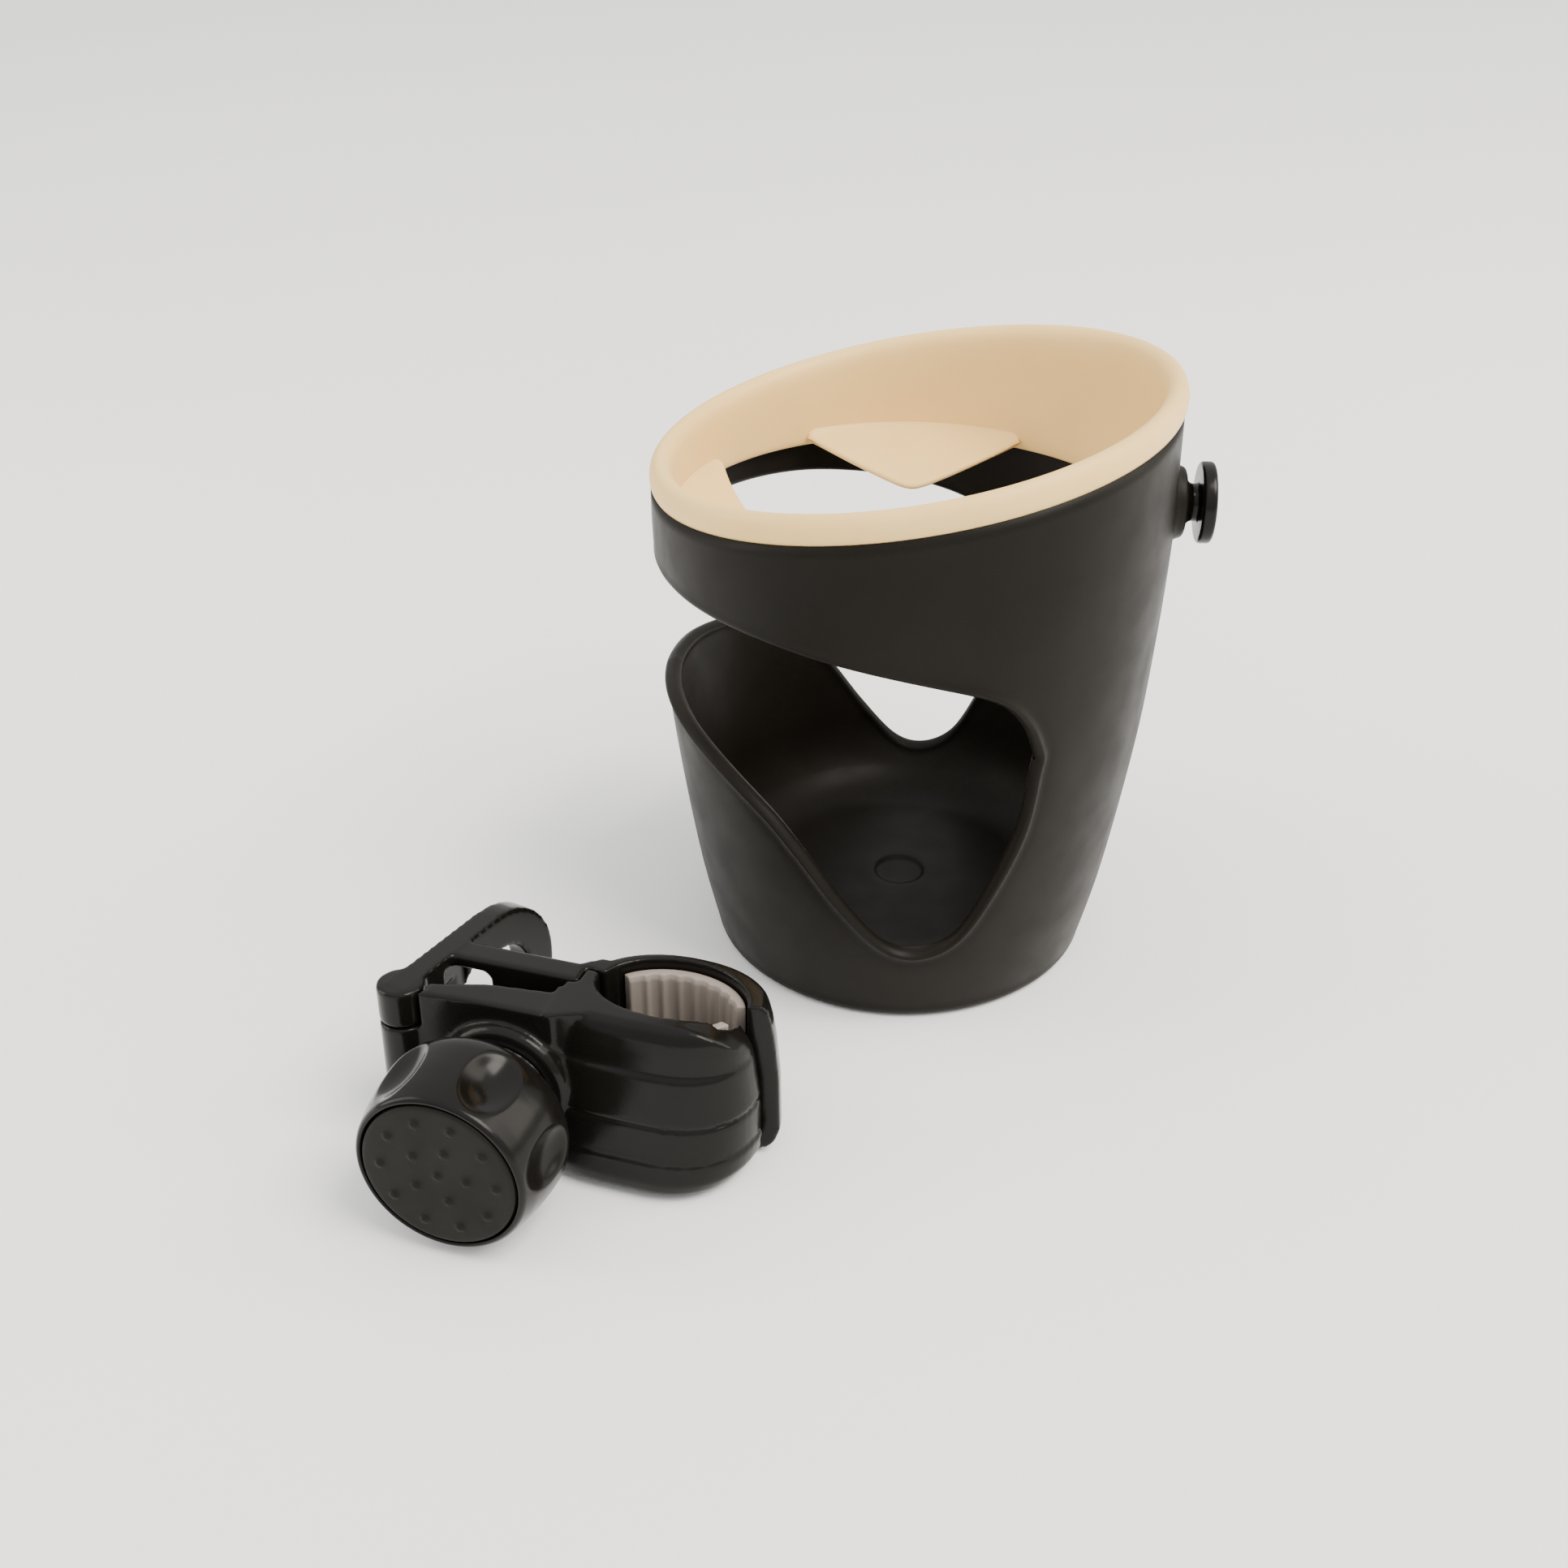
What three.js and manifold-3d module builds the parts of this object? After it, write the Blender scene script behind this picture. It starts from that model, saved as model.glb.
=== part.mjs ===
// Cup holder in two halves: a round-tube clamp that lies on the table, and the open cup that
// hooks onto it by a mushroom stud. Millimetres, +Z up. The origin is the centre of the cup's
// base on the table, and the cup is symmetric about the XZ plane with its stud towards +X.

import * as THREE from 'three';
import { mergeVertices } from 'three/addons/utils/BufferGeometryUtils.js';
import Module from 'manifold-3d';

const wasm = await Module();
wasm.setup();

// ---- driving dimensions ---------------------------------------------------------------

const DEG = Math.PI / 180;
const GAP = 0.3;                   // between touching pieces

const RIM_R = 50;                  // shell radius at the rim
const RIM_Z = 108.4;               // height of the rim plane on the cup's axis
const RIM_SLOPE = 0.171;           // rim plane rises this much per millimetre of +X
const WALL = 2.4;
const FLOOR_Z = 10;                // inside floor of the cup
const FOOT_R = 32;
const FOOT_RECESS = 1.2;
const DIMPLE_R = 5;

const BEAD_RISE = 5.2;             // crest of the rolled rim above the rim plane
const BEAD_W = 4.2;
const SKIRT_Z = 91.7;              // lower edge of the liner's skirt
const SKIRT_T = 1.6;

const FLAP_HALF = 28.5 * DEG;      // half the angle that a grip flap's root spans
const FLAP_ROOT_R = 44.5;           // clear of the skirt, so that the flap can swing down
const FLAP_ROOT_Z = 94.1;
const FLAP_LEN = 18.6;
const FLAP_DROP = 22 * DEG;         // slope of the flap below the horizontal
const FLAP_T = 1.4;

const STUD_Z = 96.4;
const STUD_R = 7.8;
const STUD_T = 2.7;
const STUD_FACE_X = 54.7;          // inner face of the stud's disc
const STEM_R = 3.6;
const BOSS_FACE_X = 52;
const BOSS_R = 6.6;

const CLAMP_POS = new THREE.Vector3(-74.9, -109.6, 17.91);
const CLAMP_TURN = -13.7 * DEG;
const CLAMP_TILT = -2.05 * DEG;

const HALF_H = 16;                 // half the height of jaws and arms
const ARM_H = 15.9;
const TIP_ROUND = 12;              // rounds the top corner of the moving jaw's tip

const PIN_POS = new THREE.Vector2(-20.6, 28.6);
const PIN_R = 1.8;
const KNUCKLE_R = 4.4;
const SPLIT_Z = 8.5;               // height of the faces where the knuckles meet
const PIN_TOP = 13.2;
const SCREW_R = 3;
const PITCH = 2;

const KNOB_R = 17.4;
const KNOB_BACK = 22.5;
const INSERT_R = 14.2;

// ---- materials ------------------------------------------------------------------------

const look = (color, roughness, metalness = 0) =>
  new THREE.MeshStandardMaterial({ color, roughness, metalness });
const charcoal = look(0x2b2723, 0.5);
const black = look(0x15120f, 0.22);
const softBlack = look(0x24211d, 0.7);
const ivory = look(0xefe6cf, 0.6);
const padGrey = look(0x8d8a86, 0.65);
const steel = look(0xa8a9ab, 0.3, 1);

// ---- helpers --------------------------------------------------------------------------

function solid(geometry) {
  const bare = geometry.clone();
  for (const name of Object.keys(bare.attributes)) {
    if (name !== 'position') bare.deleteAttribute(name);
  }
  const merged = mergeVertices(bare, 1e-4);
  const count = merged.index.count;
  const kept = [];
  for (let i = 0; i < count; i += 3) {
    const [a, b, c] = [merged.index.getX(i), merged.index.getX(i + 1), merged.index.getX(i + 2)];
    if (a !== b && b !== c && c !== a) kept.push(a, b, c);
  }
  return new wasm.Manifold(new wasm.Mesh({
    numProp: 3,
    vertProperties: Float32Array.from(merged.attributes.position.array),
    triVerts: Uint32Array.from(kept),
  }));
}

function geometryOf(body) {
  const mesh = body.getMesh();
  const geometry = new THREE.BufferGeometry();
  geometry.setAttribute('position', new THREE.BufferAttribute(mesh.vertProperties.slice(), 3));
  geometry.setIndex(new THREE.BufferAttribute(mesh.triVerts.slice(), 1));
  geometry.computeVertexNormals();
  return geometry;
}

const union = (...parts) => parts.map((p) => (p.isBufferGeometry ? solid(p) : p))
  .reduce((a, b) => a.add(b));
const cut = (body, ...tools) => tools.map((t) => (t.isBufferGeometry ? solid(t) : t))
  .reduce((a, b) => a.subtract(b), body.isBufferGeometry ? solid(body) : body);

function named(name, body, material) {
  const mesh = new THREE.Mesh(body.isBufferGeometry ? body : geometryOf(body), material);
  mesh.name = name;
  return mesh;
}

// A grid of rings joined into a skin. Open ends are closed with flat caps.
function skin(rings, closedRun) {
  const n = rings[0].length;
  const points = rings.flat();
  const index = [];
  const runs = closedRun ? rings.length : rings.length - 1;
  for (let i = 0; i < runs; i += 1) {
    const j = (i + 1) % rings.length;
    for (let k = 0; k < n; k += 1) {
      const m = (k + 1) % n;
      index.push(i * n + k, j * n + k, j * n + m, i * n + k, j * n + m, i * n + m);
    }
  }
  if (!closedRun) {
    const last = (rings.length - 1) * n;
    for (const [start, flip] of [[0, false], [last, true]]) {
      const ring = rings[start === 0 ? 0 : rings.length - 1];
      for (const [a, b, c] of capFaces(ring)) {
        if (flip) index.push(start + a, start + c, start + b);
        else index.push(start + a, start + b, start + c);
      }
    }
  }
  const geometry = new THREE.BufferGeometry();
  geometry.setFromPoints(points);
  geometry.setIndex(index);
  return outward(geometry);
}

function capFaces(ring) {
  const centre = ring.reduce((s, p) => s.add(p), new THREE.Vector3()).divideScalar(ring.length);
  const normal = new THREE.Vector3();
  ring.forEach((p, k) => {
    const q = ring[(k + 1) % ring.length];
    normal.add(p.clone().sub(centre).cross(q.clone().sub(centre)));
  });
  normal.normalize();
  const u = ring[0].clone().sub(centre).normalize();
  const v = normal.clone().cross(u);
  const flat = ring.map((p) => {
    const d = p.clone().sub(centre);
    return new THREE.Vector2(d.dot(u), d.dot(v));
  });
  return THREE.ShapeUtils.triangulateShape(flat, []);
}

function outward(geometry) {
  const p = geometry.attributes.position;
  const idx = geometry.index;
  const [a, b, c] = [new THREE.Vector3(), new THREE.Vector3(), new THREE.Vector3()];
  let volume = 0;
  for (let i = 0; i < idx.count; i += 3) {
    a.fromBufferAttribute(p, idx.getX(i));
    b.fromBufferAttribute(p, idx.getX(i + 1));
    c.fromBufferAttribute(p, idx.getX(i + 2));
    volume += a.dot(b.cross(c));
  }
  if (volume < 0) {
    for (let i = 0; i < idx.count; i += 3) {
      const keep = idx.getX(i + 1);
      idx.setX(i + 1, idx.getX(i + 2));
      idx.setX(i + 2, keep);
    }
  }
  geometry.computeVertexNormals();
  return geometry;
}

function box(x0, x1, y0, y1, z0, z1) {
  return new THREE.BoxGeometry(x1 - x0, y1 - y0, z1 - z0)
    .translate((x0 + x1) / 2, (y0 + y1) / 2, (z0 + z1) / 2);
}

// Round bar along an axis, from a to b on it, centred on the other two coordinates.
function bar(axis, a, b, radius, centre, sides = 32) {
  const g = new THREE.CylinderGeometry(radius, radius, b - a, sides).translate(0, (a + b) / 2, 0);
  if (axis === 'x') g.rotateZ(-Math.PI / 2).translate(0, centre[0], centre[1]);
  if (axis === 'y') g.translate(centre[0], 0, centre[1]);
  if (axis === 'z') g.rotateX(Math.PI / 2).translate(centre[0], centre[1], 0);
  return g;
}

// Turned body about an axis: profile points are [radius, place along the axis].
function turned(axis, profile, sides, centre = [0, 0]) {
  const g = new THREE.LatheGeometry(profile.map(([r, t]) => new THREE.Vector2(r, t)), sides);
  if (axis === 'x') g.rotateZ(-Math.PI / 2).translate(0, centre[0], centre[1]);
  if (axis === 'y') g.translate(centre[0], 0, centre[1]);
  if (axis === 'z') g.rotateX(Math.PI / 2).translate(centre[0], centre[1], 0);
  return outward(g);
}

function slab(shape, z0, z1, steps = 12) {
  const g = new THREE.ExtrudeGeometry(shape, {
    depth: z1 - z0, bevelEnabled: false, curveSegments: steps,
  });
  return g.translate(0, 0, z0);
}

// ---- cup shell ------------------------------------------------------------------------

const wallCurve = new THREE.SplineCurve([
  [39, 0], [43.2, 19.5], [47.4, 48.8], [49.2, 70.5], [50.2, 92], [RIM_R, 108.4], [49.8, 125],
].map(([r, z]) => new THREE.Vector2(r, z)));

function wallRadius(z) {
  let [lo, hi] = [0, 1];
  for (let i = 0; i < 30; i += 1) {
    const mid = (lo + hi) / 2;
    if (wallCurve.getPoint(mid).y < z) lo = mid;
    else hi = mid;
  }
  return wallCurve.getPoint(lo).x;
}

function shellProfile() {
  const edge = 2;
  const bowl = 16;
  const top = 124;
  const points = [[0, 0], [12, 0], [13, FOOT_RECESS], [FOOT_R, FOOT_RECESS], [FOOT_R + 1, 0]];
  for (let i = 0; i <= 3; i += 1) {
    const a = (i / 3) * (Math.PI / 2);
    points.push([wallRadius(edge) - edge + edge * Math.sin(a), edge - edge * Math.cos(a)]);
  }
  for (let z = 9; z < top; z += 9) points.push([wallRadius(z), z]);
  points.push([wallRadius(top), top]);
  for (let z = top; z > FLOOR_Z + bowl + 5; z -= 16) points.push([wallRadius(z) - WALL, z]);
  const bowlR = wallRadius(FLOOR_Z + bowl) - WALL;
  for (let i = 0; i <= 6; i += 1) {
    const a = (i / 6) * (Math.PI / 2);
    points.push([bowlR - bowl + bowl * Math.cos(a), FLOOR_Z + bowl - bowl * Math.sin(a)]);
  }
  points.push([DIMPLE_R, FLOOR_Z], [DIMPLE_R - 0.6, FLOOR_Z - 0.6], [0, FLOOR_Z - 0.6]);
  return points;
}

// The opening wraps round the front: its lower edge dips to a V on each side and rises to a
// rounded petal in front, and its upper edge is the underside of the band.
const lowerEdge = new THREE.SplineCurve([
  [60.3, 60], [62, 46], [68, 32.5], [75, 22.5], [84, 18.7], [93, 20.5], [103, 29],
  [114, 41], [124, 49], [140, 55.5], [160, 59], [180, 60],
].map(([a, z]) => new THREE.Vector2(a, z)));
const upperEdge = new THREE.SplineCurve([
  [60.3, 64], [64, 70.5], [71, 76.2], [85, 80.2], [105, 83.4], [130, 85.6], [180, 86.5],
].map(([a, z]) => new THREE.Vector2(a, z)));

function edgeHeight(curve, angle) {
  let [lo, hi] = [0, 1];
  for (let i = 0; i < 30; i += 1) {
    const mid = (lo + hi) / 2;
    if (curve.getPoint(mid).x < angle) lo = mid;
    else hi = mid;
  }
  return curve.getPoint(lo).y;
}

function windowCutter() {
  const angles = [60.4, 60.8, 61.5, 63, 65.5, 68.5, 72, 75.5];
  for (let a = 79; a < 180; a += 4.5) angles.push(a);
  const all = [...angles, ...angles.map((a) => 360 - a).reverse()];
  const rings = all.map((deg) => {
    const fold = deg > 180 ? 360 - deg : deg;
    const [low, high] = [edgeHeight(lowerEdge, fold), edgeHeight(upperEdge, fold)];
    return [[-6, low], [5, low], [5, high], [-6, high]].map(([out, z]) => {
      const r = wallRadius(z) + out;
      return new THREE.Vector3(r * Math.cos(deg * DEG), r * Math.sin(deg * DEG), z);
    });
  });
  return skin(rings, false);
}

function aboveRim(lift) {
  const size = 300;
  return new THREE.BoxGeometry(size, size, 80).translate(0, 0, 40)
    .rotateY(-Math.atan(RIM_SLOPE)).translate(0, 0, RIM_Z + lift);
}

function cupShell() {
  const shell = turned('z', shellProfile(), 72);
  const at = [0, STUD_Z];
  const boss = bar('x', 48.6, BOSS_FACE_X, BOSS_R, at);
  return cut(
    union(shell, boss), windowCutter(), aboveRim(0),
    bar('x', 40, 60, 1.8, at), turned('x', [[0, 40], [3.7, 40], [3.7, 48.6], [1.8, 50.4],
      [0, 50.4]], 32, at),
  );
}

// ---- liner and grip flaps -------------------------------------------------------------

function linerSection(deg) {
  const c = Math.cos(deg * DEG);
  const s = Math.sin(deg * DEG);
  const skirtOut = RIM_R - WALL - GAP - 0.1;
  const skirtIn = skirtOut - SKIRT_T;
  const beadIn = RIM_R - BEAD_W;
  const plane = (r) => RIM_Z + RIM_SLOPE * r * c;
  const section = [
    [RIM_R, plane(RIM_R) + GAP], [RIM_R + 0.3, plane(RIM_R) + 2],
    [RIM_R, plane(RIM_R) + 4.2], [RIM_R - 1, plane(RIM_R) + BEAD_RISE],
    [RIM_R - 2.4, plane(RIM_R) + 5], [beadIn + 0.5, plane(RIM_R) + 3.8],
    [beadIn, plane(RIM_R) + 2], [skirtIn, plane(RIM_R) - 3], [skirtIn - 0.3, SKIRT_Z + 1], [skirtIn, SKIRT_Z],
    [skirtOut, SKIRT_Z], [skirtOut, plane(skirtOut) + GAP],
  ];
  return section.map(([r, z]) => new THREE.Vector3(r * c, r * s, z));
}

function rimLiner() {
  const rings = [];
  for (let deg = 0; deg < 360; deg += 4) rings.push(linerSection(deg));
  return skin(rings, true);
}

// A flap is a rounded triangle, hinged along its root on the skirt and leaning down and inwards.
function gripFlap() {
  const steps = 10;
  const rings = [];
  for (let i = -steps; i <= steps; i += 1) {
    const a = (i / steps) * (FLAP_HALF - 1 * DEG);
    const middle = 1 - Math.abs(i / steps);
    const reach = FLAP_LEN * middle * (1 - 0.12 * middle ** 6) + 0.9;
    const [x, y] = [FLAP_ROOT_R * Math.cos(a), FLAP_ROOT_R * Math.sin(a)];
    const tipX = x - reach * Math.cos(FLAP_DROP);
    const tipZ = FLAP_ROOT_Z - reach * Math.sin(FLAP_DROP);
    rings.push([new THREE.Vector3(x, y, FLAP_ROOT_Z), new THREE.Vector3(tipX, y, tipZ),
      new THREE.Vector3(tipX, y, tipZ - FLAP_T * 0.8),
      new THREE.Vector3(x, y, FLAP_ROOT_Z - FLAP_T)]);
  }
  return skin(rings, false);
}

// ---- stud and its screw ---------------------------------------------------------------

function hookStud() {
  const end = STUD_FACE_X + STUD_T;
  const profile = [[0, BOSS_FACE_X + GAP], [STEM_R + 1, BOSS_FACE_X + GAP],
    [STEM_R, BOSS_FACE_X + 1.2], [STEM_R, STUD_FACE_X - 0.5], [STEM_R + 0.5, STUD_FACE_X],
    [STUD_R - 0.5, STUD_FACE_X], [STUD_R, STUD_FACE_X + 0.5], [STUD_R, end - 0.9],
    [STUD_R - 0.7, end - 0.25], [STUD_R - 2.5, end], [0, end]];
  return cut(turned('x', profile, 40, [0, STUD_Z]), bar('x', 40, end - 1, 1.6, [0, STUD_Z], 24));
}

function studScrew() {
  const profile = [[0, 47.9], [3.3, 47.9], [3.3, 48.4], [1.5, 50.1], [1.4, STUD_FACE_X + 1.2],
    [0, STUD_FACE_X + 1.4]];
  return turned('x', profile, 24, [0, STUD_Z]);
}

// ---- clamp: local frame, X along the arms to the jaws, Y from knob face inwards, Z up --

// Half ring of the jaws: angles run round the bore centre and widths change with height.
function jawRing(from, to, inner, outer, levels, steps) {
  const rings = levels.map(([z, grow, widen, cover = 0]) => {
    const ring = [];
    for (let i = 0; i <= steps; i += 1) {
      const a = from + ((to - from) * i) / steps;
      const [c, s] = [Math.cos(a), Math.sin(a)];
      const power = 2 / (c < 0 ? outer.square : outer.squareTip);
      const width = c < 0 ? outer.left : outer.a;
      ring.push(new THREE.Vector3(
        outer.x + (width + widen) * Math.sign(c) * Math.abs(c) ** power,
        outer.y + (outer.b + grow) * Math.sign(s) * Math.abs(s) ** power, z));
    }
    for (let i = steps; i >= 0; i -= 1) {
      const a = from + ((to - from) * i) / steps;
      ring.push(new THREE.Vector3(inner.x + inner.a * Math.cos(a),
        inner.y + (inner.b - cover) * Math.sin(a), z));
    }
    return ring;
  });
  return skin(rings, false);
}

// Each level is [height, growth across the parting, growth along it, cover over the pad].
const farInner = { x: 26.5, y: 39.4, a: 14.2, b: 11.2 };
const farOuter = { x: 26.5, y: 39.4, a: 20, b: 15.8, square: 2, squareTip: 2.35, left: 20 };
const farLevels = [[-HALF_H, -4.2, -4.2], [-15.2, -2.4, -2.4], [-13.8, -0.9, -0.9],
  [-11, 0, 0], [0, -0.2, -0.2], [8, -0.9, -0.9], [12, -1.5, -1.5], [14.8, -2.2, -2.2],
  [HALF_H, -3.2, -3.2]];
const nearInner = { x: 26, y: 40.4, a: 13.4, b: 9 };
const nearOuter = { x: 26, y: 40.4, a: 17.3, b: 15.8, square: 4, squareTip: 2.45, left: 22 };
const nearLevels = [[-HALF_H, 0.6, -2.3], [-15, 1.6, -0.9], [-12.8, 1.9, 0.5],
  [-9.4, 1.4, 0.9], [-9.2, 0.7, 0.3], [-8.8, 0.6, 0], [-8.6, 1.1, 0.5], [-2.4, -0.1, 0.5],
  [-2.2, -0.7, 0], [-1.8, -0.7, 0], [-1.6, -0.3, 0.5], [6.8, -2.4, -0.6], [7.3, -3.1, -0.9],
  [11, -3.5, -1.1], [13.5, -4.1, -1.4], [14.3, -4.5, -1.6], [14.6, -4.6, -1.7, 1.9],
  [15.2, -4.9, -2, 2], [HALF_H, -5.8, -2.5, 1.7]];
const padSpan = 62 * DEG;
const ribStep = 15 * DEG;
const padTurn = 8 * DEG;            // the pads sit a little towards the jaws' tips

function padBody(ellipse, middle, lift) {
  const rib = 0.55;
  const depth = 1.9;
  const steps = 54;
  const rings = [-14, 13, 14].map((z, k) => {
    const out = [];
    const inn = [];
    for (let i = 0; i <= steps; i += 1) {
      const t = -1 + (2 * i) / steps;
      const a = middle + t * padSpan;
      const ribbed = Math.abs(t) < 0.85 ? rib : 0;
      const wave = Math.max(0, Math.cos((2 * Math.PI * t * padSpan) / ribStep)) * ribbed;
      const grow = k === 2 ? -0.4 : 0;
      const c = Math.cos(a);
      const s = Math.sin(a);
      out.push(new THREE.Vector3(ellipse.x + (ellipse.a - lift) * c,
        ellipse.y + (ellipse.b - lift) * s, z));
      inn.push(new THREE.Vector3(ellipse.x + (ellipse.a - lift - depth - wave - grow) * c,
        ellipse.y + (ellipse.b - lift - depth - wave - grow) * s, z));
    }
    return [...out, ...inn.reverse()];
  });
  return skin(rings, false);
}

// The plate stands across the left end of the arms and is turned a little from square.
const PLATE_TURN = -11.5 * DEG;
const PLATE_AT = new THREE.Vector2(-23.3, 26);
const PLATE_T = 4.9;
const PLATE_CENTRE = 28.1;         // along the plate to the middle of its round end
const KEYHOLE_R = STUD_R + 0.7;
const SLOT_HALF = STEM_R + 0.6;
const SLOT_END = 15.5;             // along the plate to where the stud comes to rest
const LIP_T = 2.2;
const POCKET_DEPTH = STUD_T + 0.5;

// A flat piece standing in the plate: drawn as (along, up), thick between x0 and x1.
const standing = (shape, x0, x1) => slab(shape, x0, x1, 14).rotateX(Math.PI / 2)
  .rotateZ(Math.PI / 2);

function slotShape(radius, from, to) {
  const shape = new THREE.Shape();
  shape.moveTo(to, -radius);
  shape.absarc(to, 0, radius, -Math.PI / 2, Math.PI / 2, false);
  shape.lineTo(from, radius);
  shape.absarc(from, 0, radius, Math.PI / 2, 1.5 * Math.PI, false);
  return shape;
}

function plateBody() {
  const shape = new THREE.Shape();
  shape.moveTo(1, -HALF_H);
  shape.lineTo(PLATE_CENTRE, -HALF_H);
  shape.absarc(PLATE_CENTRE, 0, HALF_H, -Math.PI / 2, Math.PI / 2, false);
  shape.lineTo(1, HALF_H);
  shape.closePath();
  return solid(standing(shape, 0, PLATE_T));
}

function keyhole() {
  const hole = bar('x', -1, LIP_T + POCKET_DEPTH, KEYHOLE_R, [PLATE_CENTRE, 0], 40);
  const slot = standing(slotShape(SLOT_HALF, SLOT_END, PLATE_CENTRE), -1, LIP_T + 1);
  const pocket = standing(slotShape(KEYHOLE_R, SLOT_END, PLATE_CENTRE), LIP_T,
    LIP_T + POCKET_DEPTH);
  return union(hole, slot, pocket);
}

function placePlate(body) {
  const g = geometryOf(body);
  g.rotateZ(PLATE_TURN).translate(PLATE_AT.x, PLATE_AT.y, 0);
  return solid(g);
}

function knuckle(z0, z1) {
  return bar('z', z0, z1, KNUCKLE_R, [PIN_POS.x, PIN_POS.y]);
}

// A round-cornered opening through an arm.
function armWindow(x0, x1, z0, z1, r) {
  const corners = [[x0 + r, z0 + r], [x0 + r, z1 - r], [x1 - r, z0 + r], [x1 - r, z1 - r]];
  const pieces = corners.map(([x, z]) => bar('y', 37, 46, r, [x, z]));
  return union(box(x0 + r, x1 - r, 37, 46, z0, z1), box(x0, x1, 37, 46, z0 + r, z1 - r), ...pieces);
}

function hexPrism(flats, y0, y1) {
  return new THREE.CylinderGeometry(flats / Math.sqrt(3), flats / Math.sqrt(3), y1 - y0, 6)
    .translate(0, (y0 + y1) / 2, 0);
}

function fixedJaw() {
  const arm = box(-18, 9.2, 38.9, 44.2, -ARM_H, ARM_H);
  const hook = jawRing(5 * DEG, 164 * DEG, farInner, farOuter, farLevels, 26);
  const web = new THREE.Shape();
  web.moveTo(8, 43.1);
  web.lineTo(8, 44.2);
  web.lineTo(10.8, 46.6);
  web.lineTo(14.5, 46);
  web.lineTo(13.2, 43.1);
  web.closePath();
  const seat = bar('y', 35.6, 47.2, 7.6, [0, 0]);
  const knuckles = union(knuckle(-ARM_H, -SPLIT_Z), knuckle(SPLIT_Z, ARM_H));
  const clear = bar('z', -SPLIT_Z, SPLIT_Z, KNUCKLE_R + 0.6, [PIN_POS.x, PIN_POS.y]);
  const body = union(arm, hook, slab(web, -HALF_H, HALF_H), seat, placePlate(plateBody()), knuckles);
  return cut(
    body, clear, bar('z', -20, PIN_TOP + GAP, PIN_R + 0.1, [PIN_POS.x, PIN_POS.y]),
    placePlate(keyhole()), bar('y', 30, 60, SCREW_R + GAP, [0, 0]), hexPrism(10.6, 41.4, 50),
    armWindow(-17.6, -8.3, -13.2, 13.3, 1.7),
  );
}

function movingJaw() {
  const arm = new THREE.Shape();
  arm.moveTo(-19.5, 25.6);
  arm.lineTo(-16, 26.2);
  arm.quadraticCurveTo(-8, 27.2, 0, 27.2);
  arm.lineTo(9, 27.2);
  arm.lineTo(9, 34.7);
  arm.lineTo(-5.5, 33.1);
  arm.lineTo(-14, 30.4);
  arm.lineTo(-19.5, 29.6);
  arm.closePath();
  const block = new THREE.Shape();
  block.moveTo(7.6, 26.9);
  block.lineTo(7.6, 38.2);
  block.lineTo(9.6, 38.5);
  block.lineTo(9.6, 42.7);
  block.lineTo(12.2, 42.3);
  block.lineTo(12.6, 38.6);
  block.lineTo(15, 34.6);
  block.lineTo(15, 30.2);
  block.closePath();
  const hook = jawRing(191 * DEG, 358 * DEG, nearInner, nearOuter, nearLevels, 26);
  const boss = turned('y', [[0, 24.6], [11.4, 24.6], [12.4, 25.6], [12.7, 29], [0, 29]], 40);
  const inner = SPLIT_Z - GAP;
  const clearTop = bar('z', inner, 20, KNUCKLE_R + 0.6, [PIN_POS.x, PIN_POS.y]);
  const clearLow = bar('z', -20, -inner, KNUCKLE_R + 0.6, [PIN_POS.x, PIN_POS.y]);
  const slot = union(bar('y', 20, 38, SCREW_R + 0.5, [-0.9, 0]), bar('y', 20, 38, SCREW_R + 0.5,
    [3.2, 0]), box(-0.9, 3.2, 20, 38, -SCREW_R - 0.5, SCREW_R + 0.5));
  const arms = cut(slab(arm, -ARM_H, ARM_H), clearTop, clearLow);
  const body = union(arms, slab(block, -HALF_H, HALF_H), hook, boss, knuckle(-inner, inner));
  return cut(
    body, slot, bar('z', -20, 20, PIN_R + 0.1, [PIN_POS.x, PIN_POS.y]),
    bar('y', 34.8, 40, 8.2, [0, 0]),
    jawTip(),
  );
}

function jawTip() {
  const s = new THREE.Shape();
  const x = 43.1 - TIP_ROUND;
  s.moveTo(x, HALF_H + 3);
  s.lineTo(x, HALF_H);
  s.absarc(x, HALF_H - TIP_ROUND, TIP_ROUND, Math.PI / 2, 0, true);
  s.lineTo(x + TIP_ROUND + 4, HALF_H - TIP_ROUND);
  s.lineTo(x + TIP_ROUND + 4, HALF_H + 3);
  s.closePath();
  return slab(s, -43, -20, 10).rotateX(Math.PI / 2);
}

function hingePin() {
  return turned('z', [[0, -15.6], [PIN_R - 0.4, -15.6], [PIN_R, -15.2], [PIN_R, PIN_TOP - 0.4],
    [PIN_R - 0.4, PIN_TOP], [0, PIN_TOP]], 32, [PIN_POS.x, PIN_POS.y]);
}

function jawNut() {
  return cut(hexPrism(10, 41.7, 46.4), bar('y', 40, 50, SCREW_R + 0.2, [0, 0]));
}

function clampScrew() {
  const thread = [];
  for (let y = 27; y < 52; y += PITCH) {
    thread.push([SCREW_R - 0.5, y], [SCREW_R, y + PITCH / 2]);
  }
  return turned('y', [[0, 5], [4.6, 5], [4.6, 8], [SCREW_R, 8], [SCREW_R, 25.4], ...thread,
    [SCREW_R - 0.8, 53.6], [0, 53.6]], 24);
}

function thrustWasher() {
  const washer = turned('y', [[0, 23.1], [9.5, 23.1], [9.5, 24.3], [0, 24.3]], 40);
  return cut(washer, bar('y', 20, 30, SCREW_R + GAP, [0, 0]));
}

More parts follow.
